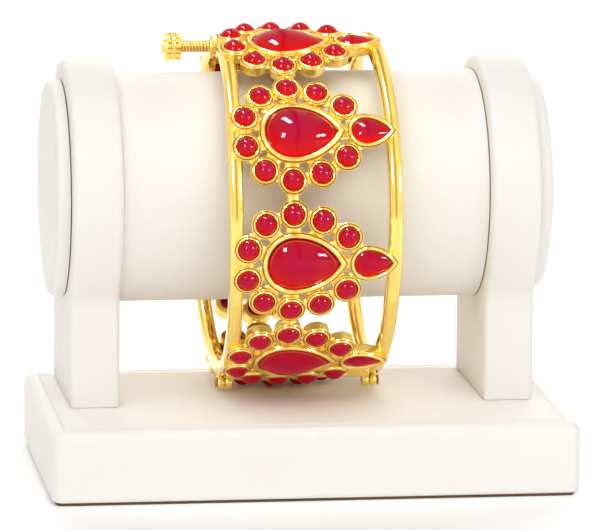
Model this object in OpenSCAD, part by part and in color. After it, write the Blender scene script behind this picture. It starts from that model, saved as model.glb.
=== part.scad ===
// Hinged bangle set with red cabochons, standing round the roll of a plain display stand.
// Millimetres, +Z up. The origin is the middle of the base's bottom face and the front is -Y.
// Angles on the ring are measured round its axis, which lies along X: 0 at the front, 90 at the top.

/* [Bangle ring] */
// Inner radius of the two rails
inner_r = 30; // [29.9:0.05:30.1]
// Radial depth of a rail
rail_depth = 3.1; // [2.9:0.1:3.2]
// Width of a rail
rail_w = 2.7; // [2.5:0.1:2.8]
// Outer face of the left rail, from the middle of the stand
bangle_left = -15.2; // [-15.3:0.1:-15.1]
// Width of the bangle over both rails
bangle_w = 32.2; // [32.1:0.1:32.4]
// Height of the ring's axis above the ground
ring_z = 49.8; // [49.8:0.1:50.5]
// How far the ring's axis is behind the middle of the base
ring_y = 11.9; // [11:0.1:12.5]
// Angle of the clasp, with the hinge straight across from it
clasp_angle = 101.75; // [101:0.25:102]

/* [Motifs] */
// Middle of the big stone's round end, from the middle of the stand
motif_x = -3.6; // [-3.7:0.1:-3.5]
// Half width of the big pear stone
pear_r = 5; // [4.8:0.1:5]
// From the middle of its round end to its tip
pear_tip = 8.8; // [8.5:0.1:8.9]
// Half width of the small pear stone
drop_r = 2.5; // [2.4:0.1:2.5]
// From the middle of its round end to its tip
drop_tip = 4.75; // [4.5:0.05:4.8]
// From the big stone's round middle to the small stone's
drop_x = 14; // [13.9:0.1:14.1]
// Radius of a round stone
round_r = 2; // [1.9:0.05:2]

/* [Settings] */
// Wall of a round stone's setting
round_wall = 0.62; // [0.5:0.02:0.62]
// Wall of the big stone's setting
pear_wall = 1.15; // [1:0.05:1.15]
// Wall of the small stone's setting
drop_wall = 0.85; // [0.7:0.05:0.85]
// Rim of the settings, from the ring's axis
rim_h = 34.2; // [34:0.1:34.3]
// Space left round each stone
stone_gap = 0.1; // [0.05:0.01:0.12]
// Radius of the wires that join neighbouring settings
link_r = 0.55; // [0.45:0.05:0.6]

/* [Hinge and clasp] */
// Hinge axis, from the ring's axis
hinge_r = 34.3; // [34.3:0.05:34.5]
// Outer radius of a hinge barrel
barrel_r = 1.3; // [1.2:0.05:1.3]
// Radius of a hinge pin
pin_r = 0.5; // [0.4:0.05:0.6]
// Clasp axis, from the ring's axis
clasp_r = 30.9; // [30.8:0.1:31]
// Outer radius of a clasp barrel
clasp_barrel_r = 1.55; // [1.5:0.05:1.6]
// Radius of the screw's thread
screw_r = 1.1; // [1:0.05:1.15]
// Length of the thread, from head to point
screw_l = 8.1; // [8:0.1:8.2]
// Radius of the screw's head
head_r = 2.7; // [2.4:0.1:2.8]
// How far the head stands off the bangle, as the screw is shown backed out
backed_out = 5.6; // [5.5:0.1:5.7]

/* [Stand] */
// Width, depth and height of the base
base_w = 100.7; // [98:0.1:104]
base_d = 61; // [60:1:66]
base_h = 14.2; // [13:0.1:14.3]
// Between the two uprights
post_gap = 70.4; // [69:0.1:71]
// Thickness and depth of an upright
post_t = 9.6; // [9:0.1:10]
post_d = 33.6; // [32:0.1:36]
// Radius of the uprights' round heads
post_head_r = 24.8; // [24:0.1:25.5]
// Radius of the roll, and its axis above the ground and behind the middle of the base
roll_r = 22; // [21.5:0.1:22.2]
roll_z = 54.2; // [54:0.1:54.4]
roll_y = 9; // [8.8:0.1:9.4]
// Radius and thickness of the end discs
disc_r = 20.9; // [20:0.1:22]
disc_t = 2.9; // [2:0.1:4]

/* [Hidden] */
$fn = 96;
GOLD = "gold";
RED = "crimson";
CREAM = "antiquewhite";

// The ring's own angles: a half turn between hinge and clasp, four motifs in each half
hinge_angle = clasp_angle - 180;
motif_step = 43.6;
half_motif_count = 4;
motifs = [0 : half_motif_count - 1];
bangle_right = bangle_left + bangle_w;
rail_corner = 0.8;

// Round stones of a motif. Columns: place along the axis from the big stone's round middle,
// and arc from the motif's middle line. They run from beside the left rail to the small stone.
STONE_X = 0;
STONE_ARC = 1;
ROUND_STONES = [
    [-8.8, 3.03],
    [-5.5, 7.7],
    [-0.2, 9.56],
    [5.35, 8.31],
    [10.25, 5.2]];
RAIL_STONE = ROUND_STONES[0];
END_STONE = ROUND_STONES[2];
layout_r = 33.4;

// Heights in a setting, from the ring's axis
cup_foot_h = 30.3;
seat_h = 32.1;
link_h = 32.9;
round_top_h = 35.5;
pear_top_h = 36;
drop_top_h = 34.8;
round_side_h = 33.9;
pear_side_h = 33.7;
// Radii of the domes across the stones
pear_dome_r = 7;
drop_dome_r = 3.9;
round_dome_r = (round_r * round_r + pow(round_top_h - round_side_h, 2))
    / (2 * (round_top_h - round_side_h));
foot_inset = 0.7;
ledge = 0.9;
lap = 0.2;
cup_r = round_r + stone_gap + round_wall;
wall_reach = 0.35;

// End bars that join the rails at the ends of each half
bar_t = 1.5;
bar_base_h = 30.7;
hinge_bar_off = 0.95;
hinge_bar_top = 33.7;
clasp_bar_off = 2.7;
clasp_bar_top = 32;
half_gap = 0.12;

// Hinge barrels along the axis, from the bangle's outer faces inward
barrel_w = 1.4;
barrel_gap = 0.15;
hinge_margin_l = 0.2;
hinge_margin_r = 0.85;
barrel_play = 0.2;
barrel_foot_h = 32.4;
pin_play = 0.05;
pin_head_t = 0.35;
pin_head_r = 1.05;

// Clasp barrels, their gaps, and the space round them
clasp_barrel_w = 2.45;
clasp_gap = 0.2;
clasp_proud = 0.1;
clasp_play = 0.25;
clasp_foot = 0.8;
thread_play = 0.06;
head_l = 3.3;
head_groove = 0.25;
head_ribs = 12;
boss_l = 0.5;
boss_r = 1.35;

// Stand details
base_corner = 2.5;
soft_edge = 1.2;
joint_gap = 0.1;
eps = 0.5;

// Places its children on the ring: x along the axis, y round it and z outward
module on_ring(angle, x = 0) {
    translate([0, ring_y, ring_z]) rotate([90 - angle, 0, 0]) translate([x, 0, 0]) children();
}

function arc_angle(arc) = arc / layout_r * 180 / PI;

function off_angle(off) = off / inner_r * 180 / PI;

// Middle of motif i of the half that runs from angle a
function motif_angle(a, i) = a + 90 + motif_step * (i - (half_motif_count - 1) / 2);

// A point of a motif at the height of the links, in the frame of the motif's middle
function link_point(x, arc) = [x, link_h * sin(arc_angle(arc)), link_h * cos(arc_angle(arc))];

// How far the two long arcs of a pear have their centres from its middle line
function pear_arc_y(r, tip) = (tip * tip - r * r) / (2 * r);

// A straight wire from p to q that leaves out a length at either end
module rod(p, q, skip_p, skip_q) {
    d = (q - p) / norm(q - p);
    h = norm(q - p) - skip_p - skip_q;
    translate(p + d * skip_p) rotate([0, acos(d.z), atan2(d.y, d.x)]) cylinder(h = h, r = link_r, $fn = 24);
}

module x_cylinder(x, h, r) {
    translate([x, 0, 0]) rotate([0, 90, 0]) cylinder(h = h, r = r, $fn = 48);
}

// Outline of a pear: a round end, and two arcs that run on from it to the tip, all grown by w
module pear_outline(r, tip, w) {
    arc_y = pear_arc_y(r, tip);
    circle(r + w);
    intersection() {
        translate([0, -arc_y]) circle(r + arc_y + w);
        translate([0, arc_y]) circle(r + arc_y + w);
        translate([0, -r - w]) square([2 * tip, 2 * (r + w)]);
    }
}

// Solid of revolution about the stone's long axis that rounds its top
module pear_dome(r, tip, dome_r) {
    arc_y = pear_arc_y(r, tip);
    rotate([0, 90, 0]) rotate_extrude() {
        intersection() {
            circle(dome_r);
            translate([0, -dome_r]) square([dome_r, dome_r]);
        }
        intersection() {
            translate([-arc_y, 0]) circle(arc_y + dome_r);
            square([dome_r, 3 * tip]);
        }
    }
}

module pear_cabochon(r, tip, dome_r, top_h) {
    floor_h = seat_h + stone_gap;
    translate([0, 0, floor_h]) linear_extrude(pear_side_h - floor_h) pear_outline(r, tip, 0);
    intersection() {
        translate([0, 0, floor_h]) linear_extrude(top_h - floor_h) pear_outline(r, tip, 0);
        translate([0, 0, top_h - dome_r]) pear_dome(r, tip, dome_r);
    }
}

module round_cabochon() {
    floor_h = seat_h + stone_gap;
    intersection() {
        translate([0, 0, floor_h]) cylinder(h = round_top_h - floor_h, r = round_r);
        translate([0, 0, round_top_h - round_dome_r]) sphere(round_dome_r);
    }
}

// Setting of a round stone: a tapered foot open below, a ledge and a straight wall
module round_cup() {
    seat_r = round_r + stone_gap;
    hole_r = round_r - ledge;
    rotate_extrude($fn = 48) polygon([[hole_r, cup_foot_h], [cup_r - foot_inset, cup_foot_h],
        [cup_r, seat_h], [cup_r, rim_h], [seat_r, rim_h], [seat_r, seat_h], [hole_r, seat_h]]);
}

module round_seat() {
    translate([0, 0, seat_h]) cylinder(h = rim_h - seat_h + eps, r = round_r + stone_gap, $fn = 48);
}

// Setting of a pear stone
module pear_cup(r, tip, wall) {
    translate([0, 0, cup_foot_h]) linear_extrude(seat_h - cup_foot_h) difference() {
        pear_outline(r, tip, stone_gap + wall - foot_inset);
        pear_outline(r, tip, -ledge);
    }
    translate([0, 0, seat_h - lap]) linear_extrude(rim_h - seat_h + lap) difference() {
        pear_outline(r, tip, stone_gap + wall);
        pear_outline(r, tip, stone_gap);
    }
}

module pear_seat(r, tip) {
    translate([0, 0, seat_h]) linear_extrude(rim_h - seat_h + eps) pear_outline(r, tip, stone_gap);
}

// Places its children at the two stones of a motif that stand where the given row says
module at_stones(angle, stone) {
    for (side = [-1, 1])
        on_ring(angle + side * arc_angle(stone[STONE_ARC]), motif_x + stone[STONE_X]) children();
}

// Wires that join the settings of one motif, each let into the walls that it joins
module motif_links() {
    skip = cup_r - wall_reach;
    last = len(ROUND_STONES) - 1;
    arc_y = pear_arc_y(pear_r, pear_tip);
    for (side = [-1, 1]) {
        for (i = [0 : last - 1]) {
            s = ROUND_STONES[i];
            t = ROUND_STONES[i + 1];
            rod(link_point(s[STONE_X], side * s[STONE_ARC]), link_point(t[STONE_X], side * t[STONE_ARC]),
                skip, skip);
        }
        for (s = ROUND_STONES) {
            y = s[STONE_X] > 0 ? arc_y : 0;
            rod(link_point(s[STONE_X], side * s[STONE_ARC]), link_point(0, -side * y),
                skip, y + pear_r + pear_wall / 2);
        }
        t = ROUND_STONES[last];
        rod(link_point(t[STONE_X], side * t[STONE_ARC]), link_point(drop_x, 0),
            skip, drop_r + drop_wall / 2);
    }
    s = ROUND_STONES[0];
    rod(link_point(s[STONE_X], -s[STONE_ARC]), link_point(s[STONE_X], s[STONE_ARC]), skip, skip);
    rod(link_point(pear_tip, 0), link_point(drop_x, 0), pear_wall * 0.6, drop_r + drop_wall / 2);
}

// Link from the end stone of one motif to the end stone of the next
module motif_bridge(angle) {
    s = END_STONE;
    next_arc = motif_step * PI / 180 * layout_r - s[STONE_ARC];
    on_ring(angle, motif_x) rod(link_point(s[STONE_X], s[STONE_ARC]), link_point(s[STONE_X], next_arc),
        cup_r - wall_reach, cup_r - wall_reach);
}

module motif_metal(angle) {
    for (s = ROUND_STONES) at_stones(angle, s) round_cup();
    on_ring(angle, motif_x) {
        pear_cup(pear_r, pear_tip, pear_wall);
        translate([drop_x, 0, 0]) pear_cup(drop_r, drop_tip, drop_wall);
        motif_links();
    }
}

module rail_section() {
    c = rail_corner;
    translate([c, 0]) square([rail_depth - 2 * c, rail_w]);
    translate([0, c]) square([rail_depth, rail_w - 2 * c]);
    for (x = [c, rail_depth - c], y = [c, rail_w - c]) translate([x, y]) circle(c, $fn = 48);
}

// A rail with its left face at x, from angle a over a span
module rail(x, a, span) {
    translate([0, ring_y, ring_z]) rotate([90, 0, 0]) rotate([0, -90, 0]) rotate([0, 0, a])
        rotate_extrude(angle = span) translate([inner_r, -x - rail_w]) rail_section();
}

// Bar along the axis at the end of a half, its middle at the given angle
module end_bar(angle, x0, x1, top_h) {
    on_ring(angle) translate([x0, -bar_t / 2, bar_base_h]) cube([x1 - x0, bar_t, top_h - bar_base_h]);
}

// Rails and end bars of the half that runs from angle a. Side is 1 for the half that starts at the
// hinge and -1 for the half that ends there.
module half_rails(a, side) {
    gap = off_angle(half_gap);
    rail(bangle_left, a + gap, 180 - 2 * gap);
    rail(bangle_right - rail_w, a + gap, 180 - 2 * gap);
    end_bar(hinge_angle + side * off_angle(hinge_bar_off), left_barrel_x(1), right_barrel_x(1) + barrel_w,
        hinge_bar_top);
    end_bar(clasp_angle - side * off_angle(clasp_bar_off), bangle_left + rail_w / 2,
        bangle_right - rail_w / 2, clasp_bar_top);
}

// Room in the rails and bars for the stones whose settings stand on them
module rail_seats(a) {
    for (i = motifs) {
        angle = motif_angle(a, i);
        at_stones(angle, RAIL_STONE) round_seat();
        if (i == 0 || i == half_motif_count - 1) at_stones(angle, END_STONE) round_seat();
        on_ring(angle, motif_x + drop_x) pear_seat(drop_r, drop_tip);
    }
}

module half_motifs(a) {
    for (i = motifs) motif_metal(motif_angle(a, i));
    for (i = [0 : half_motif_count - 2]) motif_bridge(motif_angle(a, i));
}

// Hinge barrels, counted from the bangle's left and right faces: 0 is the outer, 1 the inner
function left_barrel_x(i) = bangle_left + hinge_margin_l + i * (barrel_w + barrel_gap);
function right_barrel_x(i) = bangle_right - hinge_margin_r - barrel_w - i * (barrel_w + barrel_gap);
function clasp_barrel_x(i) = bangle_left - clasp_proud + i * (clasp_barrel_w + clasp_gap);

module hinge_barrels(i, side) {
    foot = barrel_r + 0.4;
    for (x = [left_barrel_x(i), right_barrel_x(i)]) on_ring(hinge_angle) {
        translate([0, 0, hinge_r]) x_cylinder(x, barrel_w, barrel_r);
        translate([x, side > 0 ? 0 : -foot, barrel_foot_h]) cube([barrel_w, foot, hinge_r - barrel_foot_h]);
    }
}

// Space that the other half's hinge barrels turn in
module hinge_clearance(i) {
    for (x = [left_barrel_x(i), right_barrel_x(i)])
        on_ring(hinge_angle) translate([0, 0, hinge_r])
            x_cylinder(x - barrel_gap, barrel_w + 2 * barrel_gap, barrel_r + barrel_play);
}

module hinge_bores() {
    for (x = [left_barrel_x(0), right_barrel_x(1)])
        on_ring(hinge_angle) translate([0, 0, hinge_r])
            x_cylinder(x - barrel_gap, 2 * barrel_w + 3 * barrel_gap, pin_r + pin_play);
}

module clasp_barrel(i, side) {
    foot = clasp_bar_off + 0.3;
    on_ring(clasp_angle, clasp_barrel_x(i)) translate([0, 0, clasp_r]) {
        x_cylinder(0, clasp_barrel_w, clasp_barrel_r);
        translate([0, side > 0 ? 0 : -foot, -clasp_foot / 2]) cube([clasp_barrel_w, foot, 2 * clasp_foot]);
    }
}

// Space round a clasp barrel of the other half
module clasp_clearance(i) {
    on_ring(clasp_angle, clasp_barrel_x(i) - clasp_gap) translate([0, 0, clasp_r])
        x_cylinder(0, clasp_barrel_w + 2 * clasp_gap, clasp_barrel_r + clasp_play);
}

module clasp_bore() {
    on_ring(clasp_angle) translate([0, 0, clasp_r])
        x_cylinder(bangle_left - 1, clasp_barrel_x(3) - bangle_left + 1, screw_r + thread_play);
}

// The swinging half, from the hinge up the front to the clasp
module front_frame() {
    color(GOLD) {
        difference() {
            union() {
                difference() {
                    half_rails(hinge_angle, 1);
                    rail_seats(hinge_angle);
                    hinge_clearance(0);
                    clasp_clearance(0);
                    clasp_clearance(2);
                }
                hinge_barrels(1, 1);
                clasp_barrel(1, -1);
            }
            hinge_bores();
            clasp_bore();
        }
        half_motifs(hinge_angle);
    }
}

// The half that stays behind, from the clasp down the back to the hinge
module back_frame() {
    color(GOLD) {
        difference() {
            union() {
                difference() {
                    half_rails(clasp_angle, -1);
                    rail_seats(clasp_angle);
                    hinge_clearance(1);
                    clasp_clearance(1);
                }
                hinge_barrels(0, -1);
                clasp_barrel(0, 1);
                clasp_barrel(2, 1);
            }
            hinge_bores();
            clasp_bore();
        }
        half_motifs(clasp_angle);
    }
}

// Riveted pin through a pair of barrels, with its head outside at x
module hinge_pin(x, head_x) {
    color(GOLD) on_ring(hinge_angle) translate([0, 0, hinge_r]) {
        x_cylinder(x - pin_play, 2 * (barrel_w + pin_play) + barrel_gap, pin_r);
        x_cylinder(head_x, pin_head_t, pin_head_r);
    }
}

module hinge_pin_left() {
    hinge_pin(left_barrel_x(0), left_barrel_x(0) - pin_play - pin_head_t);
}

module hinge_pin_right() {
    hinge_pin(right_barrel_x(1), right_barrel_x(0) + barrel_w + pin_play);
}

// Screw of the clasp, backed out: knurled head, plain end boss and thread
module clasp_screw() {
    head_x = bangle_left - backed_out - head_l;
    color(GOLD) on_ring(clasp_angle) translate([0, 0, clasp_r]) {
        x_cylinder(head_x + head_l, screw_l, screw_r);
        x_cylinder(head_x - boss_l, boss_l, boss_r);
        difference() {
            x_cylinder(head_x, head_l, head_r);
            for (i = [0 : head_ribs - 1]) rotate([i * 360 / head_ribs, 0, 0])
                translate([0, 0, head_r + head_groove]) x_cylinder(head_x - 1, head_l + 2, 2 * head_groove);
            difference() {
                x_cylinder(head_x + head_l / 2 - head_groove, 2 * head_groove, head_r + 1);
                x_cylinder(head_x + head_l / 2 - 2 * head_groove, 4 * head_groove, head_r - head_groove);
            }
        }
    }
}

// Round stones of a half whose first motif is a half step from angle a
module round_stones(a) {
    color(RED) for (i = motifs, s = ROUND_STONES) at_stones(motif_angle(a, i), s) round_cabochon();
}

module front_round_stones() {
    round_stones(hinge_angle);
}

module back_round_stones() {
    round_stones(clasp_angle);
}

// Stones are numbered from the hinge up the front, over the clasp and down the back
function stone_angle(number) = number > half_motif_count
    ? motif_angle(clasp_angle, number - half_motif_count - 1) : motif_angle(hinge_angle, number - 1);

module pear_stone(number) {
    color(RED) on_ring(stone_angle(number), motif_x)
        pear_cabochon(pear_r, pear_tip, pear_dome_r, pear_top_h);
}

module drop_stone(number) {
    color(RED) on_ring(stone_angle(number), motif_x + drop_x)
        pear_cabochon(drop_r, drop_tip, drop_dome_r, drop_top_h);
}

module rounded_rectangle(w, d, r) {
    square([w - 2 * r, d], center = true);
    square([w, d - 2 * r], center = true);
    for (x = [-1, 1], y = [-1, 1]) translate([x * (w / 2 - r), y * (d / 2 - r)]) circle(r);
}

module stand_base() {
    color(CREAM) linear_extrude(base_h) rounded_rectangle(base_w, base_d, base_corner);
}

// Upright with a round head, its left face at x
module post(x) {
    color(CREAM) translate([x, roll_y, 0]) rotate([90, 0, 90]) linear_extrude(post_t) {
        translate([0, roll_z]) circle(post_head_r);
        translate([-post_d / 2, base_h + joint_gap]) square([post_d, roll_z - base_h - joint_gap]);
    }
}

module left_post() {
    post(-post_gap / 2 - post_t);
}

module right_post() {
    post(post_gap / 2);
}

module display_roll() {
    l = post_gap - 2 * joint_gap;
    color(CREAM) translate([0, roll_y, roll_z]) x_cylinder(-l / 2, l, roll_r);
}

// Padded disc on an upright, its flat face against the wood and its rim rounded
module disc(side) {
    x = post_gap / 2 + post_t + joint_gap;
    color(CREAM) translate([side * x, roll_y, roll_z]) rotate([0, side * 90, 0]) rotate_extrude() {
        square([disc_r, disc_t - soft_edge]);
        square([disc_r - soft_edge, disc_t]);
        translate([disc_r - soft_edge, disc_t - soft_edge]) intersection() {
            circle(soft_edge);
            square(soft_edge);
        }
    }
}

module left_disc() {
    disc(-1);
}

module right_disc() {
    disc(1);
}

stand_base();
left_post();
right_post();
display_roll();
left_disc();
right_disc();
front_frame();
back_frame();
hinge_pin_left();
hinge_pin_right();
clasp_screw();
front_round_stones();
back_round_stones();
pear_stone(1);  // pear_stone_1
pear_stone(2);  // pear_stone_2
pear_stone(3);  // pear_stone_3
pear_stone(4);  // pear_stone_4
pear_stone(5);  // pear_stone_5
pear_stone(6);  // pear_stone_6
pear_stone(7);  // pear_stone_7
pear_stone(8);  // pear_stone_8
drop_stone(1);  // drop_stone_1
drop_stone(2);  // drop_stone_2
drop_stone(3);  // drop_stone_3
drop_stone(4);  // drop_stone_4
drop_stone(5);  // drop_stone_5
drop_stone(6);  // drop_stone_6
drop_stone(7);  // drop_stone_7
drop_stone(8);  // drop_stone_8
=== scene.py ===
"""Looks of a hinged, stone-set bangle that stands round the roll of a cream display stand.

Sizes are in millimetres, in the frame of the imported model: the origin is the middle of the base's
bottom face, the front is -Y and up is +Z. Angles on the ring are measured round its axis, which lies
along X: 0 at the front, 90 at the top. Every new piece is a surface worked out as whole arrays.
"""

import math

import bpy
import numpy as np
from mathutils import Matrix, Vector


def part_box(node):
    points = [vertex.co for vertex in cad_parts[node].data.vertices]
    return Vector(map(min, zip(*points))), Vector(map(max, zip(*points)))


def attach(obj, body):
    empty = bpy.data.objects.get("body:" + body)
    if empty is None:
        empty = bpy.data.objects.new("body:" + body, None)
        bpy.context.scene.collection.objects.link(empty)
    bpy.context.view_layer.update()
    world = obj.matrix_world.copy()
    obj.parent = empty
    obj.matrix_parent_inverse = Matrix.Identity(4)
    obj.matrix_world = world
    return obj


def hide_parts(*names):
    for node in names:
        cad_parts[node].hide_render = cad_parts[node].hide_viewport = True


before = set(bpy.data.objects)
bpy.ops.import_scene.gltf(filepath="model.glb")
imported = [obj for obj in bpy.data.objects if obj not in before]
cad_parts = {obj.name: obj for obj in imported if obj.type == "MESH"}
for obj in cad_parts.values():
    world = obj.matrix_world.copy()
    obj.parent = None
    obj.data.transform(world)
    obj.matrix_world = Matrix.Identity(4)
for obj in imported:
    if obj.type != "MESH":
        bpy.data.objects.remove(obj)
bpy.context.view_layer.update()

# A millimetre in metres, and how near to each other points are welded, in millimetres
MM = 0.001
WELD = 1e-5

# The ring and its motifs, as they are in the solids
RING_Y, RING_Z = 11.9, 49.8
INNER_R = 30.0
RAIL_DEPTH, RAIL_W, RAIL_ROUND = 3.1, 2.7, 0.85
LEFT, RIGHT = -15.2, 17.0
CLASP_ANGLE = 101.75
HINGE_ANGLE = CLASP_ANGLE - 180
MOTIFS, MOTIF_STEP, MOTIF_X = 4, 43.6, -3.6
LAYOUT_R = 33.4
PEAR_R, PEAR_TIP = 5.0, 8.8
DROP_R, DROP_TIP, DROP_X = 2.5, 4.75, 14.0
ROUND_R = 2.0
# The round stones of a motif: how far along the axis, and the arc to either side of its middle line
ROUND_PLACES = [(-8.8, 3.03), (-5.5, 7.7), (-0.2, 9.56), (5.35, 8.31), (10.25, 5.2)]
END_PLACE = ROUND_PLACES[2]
SEAT_H, LINK_H = 32.2, 33.1

# Heights of the stones' girdles and tops from the ring's axis, and how far a round stone goes under the teeth
ROUND_GIRDLE_H, ROUND_TOP_H, ROUND_UNDER = 33.9, 35.5, 0.04
PEAR_GIRDLE_H, PEAR_TOP_H, DROP_TOP_H = 33.85, 36.0, 34.8
# Walls of the pear settings, and the points round them, of which every other one is a bead of the groove
PEAR_WALL, PEAR_POINTS = 1.32, 90
DROP_WALL, DROP_POINTS = 1.0, 48

# Half widths of the webs of solder, at their ends and in their middle
ROUND_WEB, PEAR_WEB, DROP_WEB = (1.55, 1.15), (1.9, 1.5), (1.7, 1.3)
FIRST_WEB, TIP_WEB, BRIDGE_WEB = (1.6, 1.2), (1.5, 1.5), (1.5, 1.1)

# How far the real rails stray outward from the flat ring at the middle of a half, and at its ends
LEFT_BOW, RIGHT_BOW = 0.65, 0.3
LEFT_END_BOW, RIGHT_END_BOW = -0.25, -0.3
RAIL_CROWN = 0.12
# How many degrees short of hinge and clasp the rails end, and the left ones at the clasp, where the front
# one stops before the back half's barrel and the back one runs into it
RAIL_GAP = 0.25
FRONT_CLASP_GAP, BACK_CLASP_GAP = 3.4, 2.4

# Hinge and clasp
HINGE_R, BARREL_R, BARREL_W, BARREL_GAP = 34.3, 1.3, 1.4, 0.15
HINGE_MARGIN_L, HINGE_MARGIN_R = 0.2, 0.85
CLASP_R, CLASP_BARREL_R, CLASP_BARREL_W, CLASP_GAP, CLASP_PROUD = 30.9, 1.55, 2.45, 0.2, 0.1
CLASP_BORE = 1.22
# The end bars' thickness, their offset from hinge or clasp, and their lowest and highest heights
BAR_T = 1.5
HINGE_BAR_OFF, HINGE_BAR_H = 0.95, (30.7, 33.7)
CLASP_BAR_OFF, CLASP_BAR_H, CLASP_BAR_IN = 2.7, (30.7, 32.0), 1.3
# The feet that join the barrels to them: how far they reach, and their heights
HINGE_FOOT, HINGE_FOOT_H = 1.15, 32.4
CLASP_FOOT, CLASP_FOOT_H = 3.0, (CLASP_R - 0.4, CLASP_R + 1.2)
PIN_R, PIN_HEAD_R, PIN_HEAD_T, PIN_HEAD_GAP = 0.5, 1.05, 0.35, 0.05
SCREW_R, SCREW_L, HEAD_R, HEAD_L, BACKED_OUT = 1.16, 8.1, 2.7, 3.3, 5.6
THREAD_PITCH, THREAD_DEPTH = 0.62, 0.13
SLOTS, SLOT_SPAN, SLOT_DEPTH = 16, 0.5, 0.32

# The stand
ROLL_Y, ROLL_Z, ROLL_R = 9.0, 54.2, 22.0
POST_D, POST_HEAD_R = 33.6, 24.8
DISC_R, DISC_SOFT, DISC_BULGE = 20.9, 1.3, 0.12
EDGE, BASE_EDGE, BASE_CORNER = 1.1, 2.0, 2.5
SHEET_IN, SHEET_H = 1.0, 0.5
SEAM = 0.22

# The camera, fitted to the photograph
CAMERA_YAW, CAMERA_PITCH, CAMERA_ROLL = 7.853, 10.135, 0.455
CAMERA_DISTANCE = 1117.558
CAMERA_TARGET = (0.386, 0.0, 39.927)
CAMERA_LENS, SENSOR_WIDTH = 348.4, 36.0

# The lights, in metres, and the floor's reach
LIGHT_DISTANCE, LIGHT_AIM = 3.0, (0.0, 0.0, 0.045)
FLOOR_REACH = 3.0


# Surfaces. A form is (points, quads, recess): points in millimetres, quads of point numbers that may name a
# point twice and so be a triangle, and how deep in a crevice each point lies, 0 to 1, by which the gold and
# the cover are darkened as painted shade.


def grid_quads(rows, cols, close_rows):
    """Quads between neighbouring points of a grid. Its last column is joined to its first, and so is its
    last row where the rows are closed."""
    i, j = np.meshgrid(np.arange(rows if close_rows else rows - 1), np.arange(cols), indexing="ij")
    down, along = (i + 1) % rows, (j + 1) % cols
    quads = np.stack([i * cols + j, down * cols + j, down * cols + along, i * cols + along], -1)
    return quads.reshape(-1, 4)


def facing_out(points, quads):
    """Turns all quads over if the volume that they close, the sum of a . (b x c) over triangles, is
    negative."""
    a, b, c, d = (points[quads[:, k]] for k in range(4))
    volume = np.einsum("ij,ij->", a, np.cross(b, c)) + np.einsum("ij,ij->", a, np.cross(c, d))
    return quads if volume > 0 else quads[:, ::-1]


def grid_form(points, recess=0.0, close_rows=False):
    """A form from a grid of points, rows by columns, turned outwards."""
    rows, cols = points.shape[:2]
    flat = points.reshape(-1, 3)
    depth = np.broadcast_to(recess, (rows, cols)).reshape(-1)
    return flat, facing_out(flat, grid_quads(rows, cols, close_rows)), depth


def joined(forms):
    """One form of several, each one's point numbers raised by the points before it."""
    forms = list(forms)
    starts = np.cumsum([0] + [len(f[0]) for f in forms[:-1]])
    return (np.concatenate([f[0] for f in forms]),
            np.concatenate([f[1] + s for f, s in zip(forms, starts)]),
            np.concatenate([f[2] for f in forms]))


def moved(form, x=0.0, y=0.0, z=0.0):
    """The form shifted by (x, y, z)."""
    return form[0] + np.array([x, y, z]), form[1], form[2]


def on_ring(form, angle):
    """Puts a form on the ring: x stays along the axis, y goes round by way of cos and sin of the angle,
    and z goes outward."""
    a = math.radians(angle)
    x, y, z = form[0].T
    turned = np.stack([x, RING_Y + y * math.sin(a) - z * math.cos(a),
                       RING_Z + y * math.cos(a) + z * math.sin(a)], -1)
    return turned, form[1], form[2]


def lathe(table, segments, waves, teeth, dots):
    """Turns a closed profile round the z axis. The rows of the table are (radius, height, recess, wave,
    tooth, dot): the radius swings by wave * cos(waves * angle), the height by tooth * cos(teeth * angle), and
    the recess, which the gold paints as shade, is shared out by dot as cos(dots * angle), so that the painted
    shade in a groove looks beaded."""
    r, z, deep, wave, tooth, dot = (np.asarray(table, float)[:, k:k + 1] for k in range(6))
    turn = np.linspace(0, 2 * np.pi, segments, endpoint=False)[None]
    r = r + wave * np.cos(waves * turn)
    grid = np.stack([r * np.cos(turn), r * np.sin(turn), z + tooth * np.cos(teeth * turn)], -1)
    return grid_form(grid, deep * (1 - dot * (0.5 - 0.5 * np.cos(dots * turn))), close_rows=True)


def along_x(x, r, turn):
    """Points round the x axis: a column of x, and radii that are a column or a grid, at angles in a row."""
    return np.stack([x + 0 * turn[None], r * np.cos(turn), r * np.sin(turn)], -1)


def turned_tube(profile, recess, segments):
    """A tube along x: a closed profile of (x, radius) turned round the x axis."""
    turn = np.linspace(0, 2 * np.pi, segments, endpoint=False)
    return grid_form(along_x(profile[:, :1], profile[:, 1:], turn), recess[:, None], close_rows=True)


def turned_bar(profile, segments=40):
    """A solid bar along x: a profile of (x, radius) turned round the x axis, its ends closed at radius 0."""
    profile = np.asarray(profile, float)
    profile = np.vstack([[profile[0, 0], 0], profile, [profile[-1, 0], 0]])
    turn = np.linspace(0, 2 * np.pi, segments, endpoint=False)
    return grid_form(along_x(profile[:, :1], profile[:, 1:], turn))


def capped(sections):
    """Closes a run of sections by adding each end section's own middle as a first and a last row."""
    first = np.repeat(sections[:1].mean(1, keepdims=True), sections.shape[1], 1)
    last = np.repeat(sections[-1:].mean(1, keepdims=True), sections.shape[1], 1)
    return np.concatenate([first, sections, last])


def rounded_loop(w, h, r, steps=5):
    """Outline of a rectangle w by h with corners of radius r: four quarter turns about points set in by r."""
    turn = np.linspace(0, np.pi / 2, steps)
    loop = []
    for k, (sx, sy) in enumerate([(1, 1), (-1, 1), (-1, -1), (1, -1)]):
        a = turn + k * np.pi / 2
        loop.append(np.stack([sx * (w / 2 - r) + r * np.cos(a), sy * (h / 2 - r) + r * np.sin(a)], -1))
    return np.concatenate(loop)


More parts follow.
